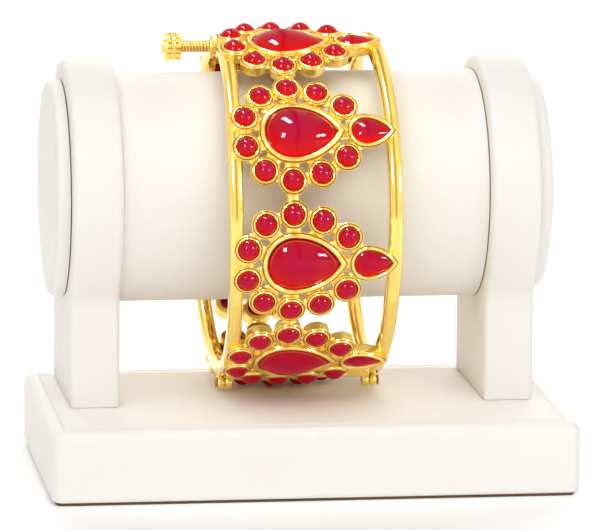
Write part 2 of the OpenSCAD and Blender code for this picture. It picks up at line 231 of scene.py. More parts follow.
def web(p, q, end, middle, thick, segments=12, rings=7):
    """A flat bar from p to q of oval section. At a share t of the way its half width is
    middle + (end - middle) * (2t - 1)^2, and its half thickness is everywhere the same."""
    along = (q - p) / np.linalg.norm(q - p)
    side = np.cross(along, [0, 0, 1.0])
    side /= np.linalg.norm(side)
    up = np.cross(side, along)
    t = np.linspace(0, 1, rings)[:, None]
    half = middle + (end - middle) * (2 * t - 1) ** 2
    turn = np.linspace(0, 2 * np.pi, segments, endpoint=False)
    across = half[:, :, None] * np.cos(turn)[None, :, None] * side
    return grid_form(capped((p + t * (q - p))[:, None] + across + thick * np.sin(turn)[None, :, None] * up))


# Pear outlines


def arc_offset(r, tip):
    """How far the middles of a pear's two long arcs are from its line of symmetry: (tip^2 - r^2) / 2r."""
    return (tip * tip - r * r) / (2 * r)


def pear_loop(r, tip, grow, arc_points=26, round_points=30):
    """A pear grown by an array of amounts: half a circle of radius r + grow on the left, and two arcs of
    radius r + offset + grow that meet on the line of symmetry. Gives (amounts, points, 2)."""
    grow = np.atleast_1d(np.asarray(grow, float))[:, None]
    a = arc_offset(r, tip)
    big = r + a + grow
    sweep = np.arccos(a / big)
    t = np.linspace(0, 1, arc_points, endpoint=False)
    upper_turn = np.pi / 2 - sweep * (1 - t)
    upper = np.stack([big * np.cos(upper_turn), big * np.sin(upper_turn) - a], -1)
    round_turn = np.pi / 2 + np.pi * np.linspace(0, 1, round_points, endpoint=False) + 0 * grow
    left = np.stack([(r + grow) * np.cos(round_turn), (r + grow) * np.sin(round_turn)], -1)
    lower_turn = 1.5 * np.pi + sweep * np.append(t, 1.0)
    lower = np.stack([big * np.cos(lower_turn), big * np.sin(lower_turn) + a], -1)
    return np.concatenate([upper, left, lower[:, :-1]], 1)


# Settings and stones


def round_bezel():
    """Setting of a round stone: from the foot's hole out to the foot, up the wall, over a narrow outer rim,
    down into the groove, which dots of painted shade make look beaded, over the broad collar, whose inner
    edge is toothed, and down its inside. The recess column paints shade in the groove, the foot's hole and
    the inside."""
    return lathe([  # radius, height, recess, wave, tooth, dot
        (1.70, 31.75, .9, 0, 0, 0), (2.40, 31.75, .2, .03, 0, 0), (2.56, 31.9, 0, .05, 0, 0),
        (2.66, 32.5, 0, .04, 0, 0), (2.73, 33.2, 0, .02, 0, 0), (2.79, 33.6, 0, 0, 0, 0),
        (2.82, 33.8, 0, 0, 0, 0), (2.80, 33.93, 0, 0, 0, 0), (2.74, 34.0, 0, 0, 0, 0),
        (2.63, 34.0, 0, 0, 0, 0), (2.57, 33.88, .8, 0, 0, .5), (2.50, 33.78, 1, 0, 0, .6),
        (2.44, 33.9, .8, 0, 0, .5), (2.41, 34.1, 0, 0, 0, 0), (2.31, 34.2, 0, 0, 0, 0),
        (2.19, 34.24, 0, 0, 0, 0), (2.14, 34.22, 0, 0, .02, 0), (2.10, 34.20, 0, 0, .10, 0),
        (2.07, 34.10, .2, 0, .10, 0), (2.05, 33.9, 1, 0, 0, 0), (2.05, 33.2, 1, 0, 0, 0),
        (1.70, 32.5, 1, 0, 0, 0)], segments=72, waves=9, teeth=18, dots=36)


def pear_bezel(r, tip, wall, count):
    """Setting of a pear stone: a narrow outer rim, a groove beaded by dots of painted shade and a broad
    smooth collar, the profile carried round the stone's outline grown by each profile point's distance from
    it. The recess column paints shade in the groove and down the inside, and every other one of the points
    round it gets less of the groove's painted shade. In the table, a share below 0 is in millimetres."""
    table = np.array([  # share of the wall's width outward, height, recess, dot
        (1.00, 33.75, 0, 0), (0.99, 33.92, 0, 0), (0.95, 34.0, 0, 0), (0.89, 34.0, 0, 0),
        (0.85, 33.9, .8, .4), (0.81, 33.75, 1, .5), (0.77, 33.9, .8, .4), (0.74, 34.12, 0, 0),
        (0.66, 34.27, 0, 0), (0.55, 34.37, 0, 0), (0.42, 34.41, 0, 0), (0.30, 34.37, 0, 0),
        (0.17, 34.26, 0, 0), (0.06, 34.1, 0, 0), (0.0, 33.95, .6, 0), (-.03, 33.75, 1, 0),
        (-.04, 33.0, 1, 0), (-.5, 32.3, 1, 0), (-.6, 31.6, 1, 0), (.40, 31.6, .3, 0),
        (.60, 31.8, .1, 0), (.78, 32.4, 0, 0), (.90, 33.0, 0, 0), (.97, 33.4, 0, 0)])
    grow = np.where(table[:, 0] > 0, table[:, 0] * wall, table[:, 0])
    on_arc = round(0.58 * count)
    loops = pear_loop(r, tip, grow, on_arc, 2 * (count - on_arc))
    height = np.repeat(table[:, 1:2], loops.shape[1], 1)
    beaded = table[:, 2:3] * (1 - table[:, 3:4] * (np.arange(loops.shape[1]) % 2)[None])
    return bent(grid_form(np.concatenate([loops, height[..., None]], -1), beaded, close_rows=True))


def bent(form):
    """Bends a form about the ring's axis: y becomes an angle y / R and z stays the distance out."""
    x, y, z = form[0].T
    return np.stack([x, z * np.sin(y / LAYOUT_R), z * np.cos(y / LAYOUT_R)], -1), form[1], form[2]


def blown_skin(loop, x, y, centre, powers=14):
    """How far a skin blown up over an outline rises at (x, y), as a share of its highest rise: the answer u
    of u_xx + u_yy = -1 that is 0 on the outline, found as a sum of Re(w^k), w = x - centre + iy over the
    outline's reach, less (x^2 + y^2) / 4, with the sum fitted to the outline by least squares."""
    reach = np.abs(loop).max()

    def basis(px, py):
        w = ((px - centre) + 1j * py) / reach
        return np.stack([w ** k for k in range(powers)], -1).real

    share = np.linalg.lstsq(basis(loop[:, 0], loop[:, 1]), (loop ** 2).sum(1) / 4, rcond=None)[0]
    rise = basis(x, y) @ share - (x * x + y * y) / 4
    return np.clip(rise / rise.max(), 0, 1)


def cabochon(r, tip, girdle_h, top_h, rings):
    """A domed stone. Its top is a round arc over the gauge g = sqrt(1 - u), where u is the rise of a skin
    blown up over its outline. Below the girdle it is straight down to its flat back. Its recess is 1 - g."""
    loop = pear_loop(r, tip, 0.0)[0]
    v = np.sin(np.linspace(0, np.pi / 2, rings))[:, None]
    centre = (tip - r) / 3
    x, y = centre + v * (loop[:, 0] - centre), v * loop[:, 1]
    gauge = np.sqrt(1 - blown_skin(loop, x, y, centre))
    gauge[-1] = 1.0
    rise = top_h - girdle_h
    curve = min(0.97, 2 * r * rise / (r * r + rise * rise))
    low = math.sqrt(1 - curve ** 2)
    z = girdle_h + rise * (np.sqrt(1 - (curve * gauge) ** 2) - low) / (1 - low)
    dome = np.stack([x, y, z], -1)
    back = np.stack([loop[:, 0], loop[:, 1], np.full(len(loop), SEAT_H)], -1)[None]
    middle = np.zeros_like(back) + [centre, 0, SEAT_H]
    grid = np.concatenate([dome, back, middle])
    shade = np.concatenate([1 - gauge, np.zeros((2, len(loop)))])
    return grid_form(grid, shade)


# The bangle


def arc_angle(arc):
    """The angle in degrees that an arc spans where the stones sit."""
    return math.degrees(arc / LAYOUT_R)


def motif_angles(first):
    """The four motifs' middles in the half that runs from the first angle."""
    return [first + 90 + MOTIF_STEP * (i - (MOTIFS - 1) / 2) for i in range(MOTIFS)]


def at_rounds(form, first):
    """The form at each round stone of a half."""
    return joined(on_ring(moved(form, MOTIF_X + x), a + side * arc_angle(arc))
                  for a in motif_angles(first) for x, arc in ROUND_PLACES for side in (-1, 1))


def at_motifs(form, first, x=0.0):
    """The form at the middle of each motif of a half."""
    return joined(on_ring(moved(form, MOTIF_X + x), a) for a in motif_angles(first))


def crowned(loop, crown):
    """The outline with its two flat faces swollen outwards by up to the crown, as 1 - (2 y / width)^2."""
    half = np.abs(loop[:, 1]).max()
    faces = np.sign(loop[:, 0]) * crown * (1 - (loop[:, 1] / half) ** 2) * (np.abs(loop[:, 1]) < half)
    return np.column_stack([loop[:, 0] + faces, loop[:, 1]])


def rail(first, x, middle_bow, end_bow, gaps=(RAIL_GAP, RAIL_GAP)):
    """A rail: a rounded rectangle carried round half the ring, strayed sideways by the end bow plus the
    rest of the middle bow times cos^2 of the way from the half's middle."""
    loop = crowned(rounded_loop(RAIL_DEPTH, RAIL_W, RAIL_ROUND, steps=9), RAIL_CROWN)
    a = np.linspace(first + gaps[0], first + 180 - gaps[1], 181)
    way = np.cos(np.pi / 2 * (a - first - 90) / 90) ** 2
    shift = end_bow + (middle_bow - end_bow) * way
    turn = np.radians(a)[:, None]
    r = INNER_R + RAIL_DEPTH / 2 + loop[None, :, 0]
    across = x + loop[None, :, 1] + shift[:, None]
    sections = np.stack([across + 0 * r, RING_Y - r * np.cos(turn), RING_Z + r * np.sin(turn)], -1)
    return grid_form(capped(sections))


def rails(first, side):
    """The two rails of a half. Side is 1 for the half that starts at the hinge."""
    left_gaps = (RAIL_GAP, FRONT_CLASP_GAP) if side > 0 else (BACK_CLASP_GAP, RAIL_GAP)
    return joined([rail(first, LEFT + RAIL_W / 2, -LEFT_BOW, -LEFT_END_BOW, left_gaps),
                   rail(first, RIGHT - RAIL_W / 2, RIGHT_BOW, RIGHT_END_BOW)])


def link_point(x, arc):
    """A point of a motif at the links' height."""
    a = arc / LAYOUT_R
    return np.array([x, LINK_H * math.sin(a), LINK_H * math.cos(a)])


def between(p, q, skip_p, skip_q, widths, thick=0.5):
    """A web on the line from p to q that leaves out a length at either end."""
    along = (q - p) / np.linalg.norm(q - p)
    return web(p + along * skip_p, q - along * skip_q, *widths, thick)


def motif_links():
    """The solder that joins the settings of one motif: broad webs from each round setting to the pear,
    narrower ones from each round setting to the next and to the small pear, and one from tip to small
    pear. Each starts and ends inside its settings' walls."""
    parts = []
    a = arc_offset(PEAR_R, PEAR_TIP)
    reach, drop = 2.3, DROP_R + 0.5
    for side in (-1, 1):
        points = [link_point(x, side * arc) for x, arc in ROUND_PLACES]
        for p, q in zip(points[:-1], points[1:]):
            parts.append(between(p, q, reach, reach, ROUND_WEB))
        for (x, arc), p in zip(ROUND_PLACES, points):
            y = a if x > 0 else 0.0
            parts.append(between(p, link_point(0, -side * y), reach, y + PEAR_R + 0.7, PEAR_WEB, 0.55))
        parts.append(between(points[-1], link_point(DROP_X, 0), reach, drop, DROP_WEB))
    x, arc = ROUND_PLACES[0]
    parts.append(between(link_point(x, arc), link_point(x, -arc), reach, reach, FIRST_WEB))
    parts.append(between(link_point(PEAR_TIP, 0), link_point(DROP_X, 0), 0.5, drop, TIP_WEB))
    return joined(parts)


def links(first):
    """The links of a half's motifs, and the struts from each motif to the next."""
    x, arc = END_PLACE
    step = math.radians(MOTIF_STEP) * LAYOUT_R
    bridge = between(link_point(x, arc), link_point(x, step - arc), 2.4, 2.4, BRIDGE_WEB, 0.6)
    bridges = [on_ring(moved(bridge, MOTIF_X), a) for a in motif_angles(first)[:-1]]
    return joined([at_motifs(motif_links(), first)] + bridges)


def bar(x0, x1, y0, y1, z0, z1, r, steps):
    """A bar along x: a rectangle with rounded corners carried from x0 to x1."""
    loop = rounded_loop(y1 - y0, z1 - z0, r, steps) + [(y0 + y1) / 2, (z0 + z1) / 2]
    sections = np.stack([np.column_stack([np.full(len(loop), x), loop]) for x in (x0, x1)])
    return grid_form(capped(sections))


def barrel_profile(w, r, soft):
    """The outside of a barrel as (x, radius), its edges rounded by a quarter turn."""
    turn = np.linspace(0, np.pi / 2, 5)
    edge = np.column_stack([soft * (1 - np.cos(turn)), r - soft * (1 - np.sin(turn))])
    return np.concatenate([edge, np.column_stack([w - edge[::-1, 0], edge[::-1, 1]])])


def hinge_barrel(x):
    """A barrel of the hinge from x on."""
    return turned_bar(barrel_profile(BARREL_W, BARREL_R, soft=0.4) + [x, 0.0], segments=36)


def bored_barrel(x):
    """A barrel of the clasp from x on, with a bore straight through it that is painted dark as shade."""
    outside = barrel_profile(CLASP_BARREL_W, CLASP_BARREL_R, CLASP_BARREL_R - CLASP_BORE - 0.06)
    profile = np.vstack([[0.0, CLASP_BORE], outside, [CLASP_BARREL_W, CLASP_BORE]]) + [x, 0.0]
    recess = np.zeros(len(profile))
    # The bore's rows are painted dark as shade.
    recess[[0, -1]] = 1.0
    return turned_tube(profile, recess, segments=40)


def left_barrel(i):
    """Left end of a left hinge barrel: 0 is the outer, 1 the inner."""
    return LEFT + HINGE_MARGIN_L + i * (BARREL_W + BARREL_GAP)


def right_barrel(i):
    """Left end of a right hinge barrel: 0 is the outer, 1 the inner."""
    return RIGHT - HINGE_MARGIN_R - BARREL_W - i * (BARREL_W + BARREL_GAP)


def clasp_barrel(i):
    """Left end of a clasp barrel, counted from the left face."""
    return LEFT - CLASP_PROUD + i * (CLASP_BARREL_W + CLASP_GAP)


def off_angle(off):
    """The angle in degrees of an arc on the inner radius."""
    return math.degrees(off / INNER_R)


def fittings(side, hinge_index, clasp_indices):
    """End bars, hinge barrels and clasp barrels of a half. Side is as for its rails."""
    faces = -BAR_T / 2, BAR_T / 2
    hinge_bar = bar(left_barrel(1), right_barrel(1) + BARREL_W, *faces, *HINGE_BAR_H, r=0.3, steps=5)
    clasp_bar = bar(LEFT + CLASP_BAR_IN, RIGHT - CLASP_BAR_IN, *faces, *CLASP_BAR_H, r=0.3, steps=5)
    parts = [on_ring(hinge_bar, HINGE_ANGLE + side * off_angle(HINGE_BAR_OFF)),
             on_ring(clasp_bar, CLASP_ANGLE - side * off_angle(CLASP_BAR_OFF))]
    y0, y1 = (0, HINGE_FOOT) if side > 0 else (-HINGE_FOOT, 0)
    for x in (left_barrel(hinge_index), right_barrel(hinge_index)):
        foot = bar(x, x + BARREL_W, y0, y1, HINGE_FOOT_H, HINGE_R, r=0.15, steps=4)
        parts += [on_ring(moved(hinge_barrel(x), z=HINGE_R), HINGE_ANGLE), on_ring(foot, HINGE_ANGLE)]
    y0, y1 = (-CLASP_FOOT, -CLASP_BORE) if side > 0 else (CLASP_BORE, CLASP_FOOT)
    for x in (clasp_barrel(i) for i in clasp_indices):
        foot = bar(x, x + CLASP_BARREL_W, y0, y1, *CLASP_FOOT_H, r=0.15, steps=4)
        parts += [on_ring(moved(bored_barrel(x), z=CLASP_R), CLASP_ANGLE), on_ring(foot, CLASP_ANGLE)]
    return joined(parts)


def hinge_pin(x, head_x):
    """A riveted pin with a domed head, a little rougher and painted dark amber as shade."""
    shaft = turned_bar([(x, PIN_R), (x + 2 * BARREL_W + BARREL_GAP, PIN_R)], segments=24)
    points, quads, recess = turned_bar([(head_x, 0.75 * PIN_HEAD_R), (head_x + PIN_HEAD_T / 2, PIN_HEAD_R),
                                        (head_x + PIN_HEAD_T, PIN_HEAD_R)], segments=32)
    # The head's recess paints it dark as shade and makes it a little rougher.
    head = points, quads, np.full(len(recess), 0.9)
    return on_ring(moved(joined([shaft, head]), z=HINGE_R), HINGE_ANGLE)


def screw():
    """The clasp screw. Its head has fine slots, 1 - |cos(slots / 2 * angle)| / span where that is above 0,
    and a shallow groove round its middle, and it is the same from both ends, but for a boss. Its thread is
    a ridge whose radius is a triangle wave of x / pitch - angle / full turn."""
    head_x = LEFT - BACKED_OUT - HEAD_L
    turn = np.linspace(0, 2 * np.pi, 144, endpoint=False)
    slot = np.clip(1 - np.abs(np.cos(SLOTS / 2 * turn)) / SLOT_SPAN, 0, 1)
    middle = HEAD_L / 2
    near = np.array([  # x from the head's end, radius, share of the slots
        (0, 0, 0), (0, 1.9, 0), (0.06, 2.3, 0), (0.22, 2.6, 0), (0.42, HEAD_R - 0.05, 0), (0.5, HEAD_R, 1),
        (middle - 0.4, HEAD_R, 1), (middle - 0.3, HEAD_R, 0), (middle - 0.12, HEAD_R - 0.06, 0)])
    x, r, share = np.concatenate([near, near[::-1] * [-1, 1, 1] + [HEAD_L, 0, 0]]).T[:, :, None]
    # The slots are painted dark as shade, by how deep they cut.
    head = grid_form(along_x(head_x + x, r - SLOT_DEPTH * share * slot, turn), share * slot)
    boss = turned_bar([(head_x - 0.45, 1.1), (head_x - 0.3, 1.3), (head_x + 0.05, 1.35)])
    tip_x = head_x + HEAD_L + SCREW_L
    x = np.linspace(head_x + HEAD_L, tip_x, 170)[:, None]
    turn = np.linspace(0, 2 * np.pi, 24, endpoint=False)
    wave = np.abs(((x / THREAD_PITCH - turn / (2 * np.pi)) % 1.0) * 2 - 1)
    taper = np.clip((tip_x - x) / 0.6, 0, 1)
    body = along_x(x, SCREW_R - THREAD_DEPTH * (wave + (1 - taper)), turn)
    # The thread's grooves are painted dark as shade, by the wave.
    thread = grid_form(capped(body), np.pad(wave, ((1, 1), (0, 0))))
    return on_ring(moved(joined([head, boss, thread]), z=CLASP_R), CLASP_ANGLE)


# The stand


def level(loop, z):
    """An outline at a height."""
    return np.column_stack([loop, np.full(len(loop), z)])


def slab(outline, low, high, low_edge, high_edge):
    """A covered slab: an outline that shrinks by the edges' roundness, carried up the slab's thickness as a
    quarter turn, a straight side and a quarter turn. The outline function gives the outline set in by an
    amount. Gives (rows, points, 3) with the thickness as z."""
    turn = np.linspace(0, np.pi / 2, 5)
    inset = np.concatenate([low_edge * (1 - np.sin(turn)), high_edge * (1 - np.cos(turn))])
    z = np.concatenate([low + low_edge * (1 - np.cos(turn)), high - high_edge * (1 - np.sin(turn))])
    return np.stack([level(outline(i), h) for i, h in zip(inset, z)])


def base_outline(w, d, corner):
    """Outline of the base set in by an amount: a rectangle with rounded corners."""
    return lambda inset: rounded_loop(w - 2 * inset, d - 2 * inset, max(corner - inset, 0.3), steps=8)


def filled(sections, rings=10):
    """Adds to a run of sections a flat cap at each end, of rings that shrink to the end section's middle."""
    share = np.linspace(0, 1, rings)[:, None, None]

    def cap(section):
        middle = section.mean(1, keepdims=True)
        return middle + share * (section - middle)

    return np.concatenate([cap(sections[:1])[:-1], sections, cap(sections[-1:])[-2::-1]])


def stand_base():
    """The base, a low slab with rounded edges on a thin bottom sheet set in from them, its top a panel let in
    behind a fine seam. The bottom and the sheet are painted dark brown as the shadow under the base, and the
    seam a little darker as painted shade."""
    low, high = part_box("stand_base")
    w, d, h = (high - low) / MM
    outline = base_outline(w, d, BASE_CORNER)
    sheet = np.stack([level(outline(SHEET_IN), z) for z in (0.0, SHEET_H)])
    body = slab(outline, SHEET_H, h, EDGE, BASE_EDGE)
    groove = [(0.5, 0.0), (0.58, 0.15), (0.66, 0.15), (0.74, 0.0)]
    seam = np.stack([level(outline(BASE_EDGE + inset), h - drop) for inset, drop in groove])
    rings = 10
    grid = filled(np.concatenate([sheet, body, seam]), rings)
    deep = np.zeros(len(grid))
    body_row = rings - 1 + len(sheet)
    seam_row = body_row + len(body)
    # Painted shadow under the base, and painted shade in the seam.
    deep[:body_row] = 1.0
    deep[seam_row + 1:seam_row + 3] = 0.35
    return grid_form(grid, deep[:, None])


def keyhole(inset):
    """Outline of an upright in (y, z) set in by an amount: a round head on a straight shaft. The arc starts
    and ends where the shaft's sides, set in, cut the head's circle, set in."""
    r, half = POST_HEAD_R - inset, POST_D / 2 - inset
    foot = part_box("left_post")[0].z / MM + inset * 0.2
    start = math.asin(half / r)
    turn = np.linspace(start - np.pi / 2, 1.5 * np.pi - start, 84)
    head = np.stack([r * np.cos(turn), ROLL_Z + r * np.sin(turn)], -1)
    down = np.linspace(0, 1, 8)[1:, None]
    left_end, right_end = head[-1], head[0]
    left = left_end + down * (np.array([-half, foot]) - left_end)
    bottom = np.column_stack([np.linspace(-half, half, 10)[1:], np.full(9, foot)])
    right = np.array([half, foot]) + down[:-1] * (right_end - np.array([half, foot]))
    return np.concatenate([head, left, bottom, right])


def upright(node):
    """An upright: its keyhole outline carried through its thickness, with softly rounded edges."""
    low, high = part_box(node)
    grid = filled(slab(keyhole, low.x / MM, high.x / MM, EDGE, EDGE))
    return grid_form(np.stack([grid[..., 2], ROLL_Y + grid[..., 0], grid[..., 1]], -1))


def disc(node):
    """A padded disc: a circle whose rim rounds over on its outer side, with a face that bulges very slightly,
    as 1 - (r / R)^2. Its back against the upright is painted dark as shade, fading out over the fine seam at
    its rim."""
    low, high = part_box(node)
    outward = 1 if low.x > 0 else -1
    inner = (low.x if outward > 0 else high.x) / MM
    thick = (high.x - low.x) / MM
    turn = np.linspace(0, np.pi / 2, 7)
    face = np.linspace(DISC_R - DISC_SOFT, 0, 12)[1:]
    r = np.concatenate([[0, DISC_R - 0.2, DISC_R], DISC_R - DISC_SOFT * (1 - np.cos(turn)), face])
    x = np.concatenate([[0, 0, SEAM], thick - DISC_SOFT * (1 - np.sin(turn)) - DISC_BULGE,
                        thick - DISC_BULGE * (face / DISC_R) ** 2])
    deep = np.zeros(len(x))
    # Painted shade on the disc's back and in the seam at its rim.
    deep[:2] = 1.0
    around = np.linspace(0, 2 * np.pi, 128, endpoint=False)
    grid = along_x(inner + outward * x[:, None], r[:, None], around) + [0, ROLL_Y, ROLL_Z]
    return grid_form(grid, deep[:, None])


def roll():
    """The covered roll between the uprights, with a fine dark seam of painted shade at each end, where it
    meets an upright.
    """
    low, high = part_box("display_roll")
    x = np.linspace(low.x / MM + SEAM, high.x / MM - SEAM, 22)
    x = np.concatenate([[low.x / MM], x, [high.x / MM]])
    around = np.linspace(0, 2 * np.pi, 160, endpoint=False)
    grid = along_x(x[:, None], np.full((len(x), 1), ROLL_R), around) + [0, ROLL_Y, ROLL_Z]
    deep = np.zeros(len(x) + 2)
    # Painted shade in the seams where the roll meets the uprights.
    deep[[0, 1, -2, -1]] = 1.0
    return grid_form(capped(grid), deep[:, None])


# Meshes


def piece(name, form, material, body, sharp=40.0, low=None):
    """Makes an object of a form in metres: welds equal points, drops the faces that vanish, marks edges
    sharper than an angle, keeps the recess, and how low each point lies in its stone, as attributes, and
    lets it ride on its body."""
    points, quads, recess = form
    keys = np.round(points / WELD).astype(np.int64)
    first, number = np.unique(keys, axis=0, return_index=True, return_inverse=True)[1:]
    quads = number.reshape(-1)[quads]
    keep = quads != np.roll(quads, -1, axis=1)
    crossed = (quads[:, 0] == quads[:, 2]) | (quads[:, 1] == quads[:, 3])
    keep[(keep.sum(1) < 3) | crossed] = False
    totals = keep.sum(1)
    totals = totals[totals > 0]
    corners = quads[keep]
    mesh = bpy.data.meshes.new(name)
    mesh.vertices.add(len(first))
    mesh.vertices.foreach_set("co", (points[first] * MM).astype(np.float32).ravel())
    mesh.loops.add(len(corners))
    mesh.loops.foreach_set("vertex_index", corners.astype(np.int32))
    mesh.polygons.add(len(totals))
    mesh.polygons.foreach_set("loop_start", np.concatenate([[0], np.cumsum(totals)[:-1]]).astype(np.int32))
    mesh.polygons.foreach_set("loop_total", totals.astype(np.int32))
    mesh.polygons.foreach_set("use_smooth", np.ones(len(totals), bool))
    mesh.update(calc_edges=True)
    mesh.validate()
    mesh.set_sharp_from_angle(angle=math.radians(sharp))
    for label, values in (("recess", recess), ("low", low)):
        if values is not None:
            kept = mesh.attributes.new(label, "FLOAT", "POINT").data
            kept.foreach_set("value", values[first].astype(np.float32))
    mesh.materials.append(material)
    made = bpy.data.objects.new(name, mesh)
    bpy.context.scene.collection.objects.link(made)
    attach(made, body)
    return made


# Materials


class Socket:
    """A varying value in a material. An expression on it adds Math nodes."""

    def __init__(self, tree, output):
        self.tree = tree
        self.output = output

    def math(self, operation, *values):
        return add(self.tree, "ShaderNodeMath", {"operation": operation}, dict(enumerate(values)))

    def __add__(self, other):
        return self.math("ADD", self, other)

    def __sub__(self, other):
        return self.math("SUBTRACT", self, other)

    def __rsub__(self, other):
        return self.math("SUBTRACT", other, self)

    def __mul__(self, other):
        return self.math("MULTIPLY", self, other)

    __radd__ = __add__
    __rmul__ = __mul__

    def between(self, low, high):
        """0 where the value is low, 1 where it is high, with a smooth way between."""
        return add(self.tree, "ShaderNodeMapRange", {"interpolation_type": "SMOOTHSTEP"},
                   {"Value": self, "From Min": low, "From Max": high})


def add(tree, kind, settings=None, inputs=None, output=0):
    """Adds a node, sets its settings, then sets or links its sockets, and gives one of its outputs."""
    node = tree.nodes.new(kind)
    for key, value in (settings or {}).items():
        if key == "stops":
            while len(node.color_ramp.elements) < len(value):
                node.color_ramp.elements.new(0.5)
            for element, (position, colour) in zip(node.color_ramp.elements, value):
                element.position = position
                element.color = (*colour, 1.0)
        else:
            setattr(node, key, value)
    for key, value in (inputs or {}).items():
        socket = node.inputs[key]
        if isinstance(value, Socket):
            tree.links.new(value.output, socket)
        else:
            socket.default_value = value
    return Socket(tree, node.outputs[output]) if node.outputs else None


def new_material(name):
    """An empty material: its node tree, and a function that gives it a Principled surface."""
    material = bpy.data.materials.new(name)
    material.use_nodes = True
    tree = material.node_tree
    tree.nodes.clear()

    def surface(**inputs):
        sockets = {key.replace("_", " "): value for key, value in inputs.items()}
        shader = add(tree, "ShaderNodeBsdfPrincipled", None, sockets)
        add(tree, "ShaderNodeOutputMaterial", None, {"Surface": shader})

    return material, tree, surface


def place(tree):
    """Object coordinates."""
    return add(tree, "ShaderNodeTexCoord", None, None, "Object")


def noise(tree, where, scale, detail=3.0, roughness=0.5):
    """Noise of a scale given in waves a metre."""
    return add(tree, "ShaderNodeTexNoise", None,
               {"Vector": where, "Scale": scale, "Detail": detail, "Roughness": roughness}, "Fac")


def mix_colour(tree, share, first, second):
    """Mixes two colours by a share. The colour sockets of a Mix node are its inputs 6 and 7 and output 2."""
    return add(tree, "ShaderNodeMix", {"data_type": "RGBA"}, {0: share, 6: first, 7: second}, 2)


def rgb(r, g, b):
    """A linear colour."""
    return (r, g, b, 1.0)


def mark(tree, name):
    """A value that the mesh keeps at its points."""
    return add(tree, "ShaderNodeAttribute", {"attribute_name": name}, None, "Fac")


def bump(tree, strength, distance, height):
    """A normal bumped by a height, over a distance in metres."""
    return add(tree, "ShaderNodeBump", None,
               {"Strength": strength, "Distance": distance, "Height": height}, "Normal")


def gold(name):
    """Polished gold plate: pale yellow metal, a little rougher in the crevices and darkened there towards
    amber as painted shade, with the faint ripple of a cast and polished surface, under a thin clear lacquer."""
    material, tree, surface = new_material(name)
    where = place(tree)
    recess = mark(tree, "recess")
    cloud = noise(tree, where, 260.0, detail=2.0)
    ripple = noise(tree, where, 520.0, detail=2.0)
    bright = mix_colour(tree, cloud, rgb(1.0, 0.78, 0.23), rgb(1.0, 0.73, 0.17))
    # Painted shade: the recess darkens the gold towards a dark amber in grooves, bores, slots and under the
    # collars.
    colour = mix_colour(tree, recess * 0.85, bright, rgb(0.36, 0.12, 0.004))
    surface(Base_Color=colour, Metallic=0.88, Roughness=0.09 + 0.05 * cloud + 0.15 * recess,
            Normal=bump(tree, 0.1, 0.0002, ripple), Coat_Weight=0.2, Coat_Roughness=0.05)
    return material


def ruby(name):
    """Red glass cabochon over foil: cherry red that leans to magenta in the middle and to a clear red low
    down, a painted glow of light come through the stone, with a painted shadow of the setting as a dark line
    under its upper edge and a painted reflection of the gold as a thin orange line inside it."""
    material, tree, surface = new_material(name)
    inner, low = mark(tree, "recess"), mark(tree, "low")
    cloud = noise(tree, place(tree), 140.0, detail=2.0)
    # Painted light: the lower part of each stone is a clearer, brighter red, as a glow of light come through
    # from above.
    body = mix_colour(tree, low.between(-0.5, 0.8), rgb(0.47, 0.0, 0.02), rgb(0.66, 0.0, 0.002))
    body = mix_colour(tree, inner.between(0.2, 0.8) * 0.7, body, rgb(0.50, 0.0, 0.045))
    upper = low.between(0.3, -0.4)
    # Painted reflection of the setting: a thin orange line just inside the stone's upper edge.
    line = inner.between(0.05, 0.075) * (1.0 - inner.between(0.075, 0.11)) * upper
    body = mix_colour(tree, line * 0.6, body, rgb(0.8, 0.12, 0.0))
    # Painted shadow of the setting: a dark rim round the stone, darkest on its upper side.
    rim = 1.0 - inner.between(0.01, 0.06)
    colour = mix_colour(tree, rim * (0.35 + 0.6 * upper), body, rgb(0.05, 0.0, 0.0))
    surface(Base_Color=colour, Roughness=0.04 + 0.02 * cloud, IOR=1.29, Specular_Tint=rgb(1.0, 0.8, 0.85))
    return material


def cover(name):
    """Cream imitation leather: matt, with a fine grain and faint soft creases, and dark brown painted shade
    in its seams and under the base.
    """
    material, tree, surface = new_material(name)
    where = place(tree)
    grain = add(tree, "ShaderNodeTexVoronoi", {"feature": "F1"}, {"Vector": where, "Scale": 1900.0},
                "Distance")
    crease = noise(tree, where, 90.0, detail=5.0, roughness=0.62)
    tone = noise(tree, where, 30.0)
    colour = mix_colour(tree, tone, rgb(0.86, 0.835, 0.795), rgb(0.88, 0.86, 0.825))
    # Painted shade: the recess turns the cover dark brown in seams, at the roll's ends, behind the discs and
    # on the sheet under the base.
    colour = mix_colour(tree, mark(tree, "recess").between(0.1, 0.9), colour, rgb(0.14, 0.08, 0.04))
    surface(Base_Color=colour, Roughness=0.5 + 0.12 * crease,
            Normal=bump(tree, 0.25, 0.0003, 0.5 * grain + 0.9 * crease), Specular_IOR_Level=0.12)
    return material


GOLD = gold("gold_plate")
RUBY = ruby("red_stone")
COVER = cover("cream_cover")


# The object

FRONT_BODY, BACK_BODY, SCREW_BODY = "front_half", "stand_and_back_half", "screw"


def bangle_half(half, body, first, side, hinge_index, clasp_indices):
    """The metal of one half: rails, settings, links and fittings."""
    pear = pear_bezel(PEAR_R, PEAR_TIP, PEAR_WALL, PEAR_POINTS)
    drop = pear_bezel(DROP_R, DROP_TIP, DROP_WALL, DROP_POINTS)
    made = {
        "rails": rails(first, side),
        "round_settings": at_rounds(round_bezel(), first),
        "pear_settings": joined([at_motifs(pear, first), at_motifs(drop, first, DROP_X)]),
        "links": links(first),
        "fittings": fittings(side, hinge_index, clasp_indices)}
    for name, form in made.items():
        shown = piece(f"{half}_{name}", form, GOLD, body)
        if name == "rails":
            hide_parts(f"{half}_frame")


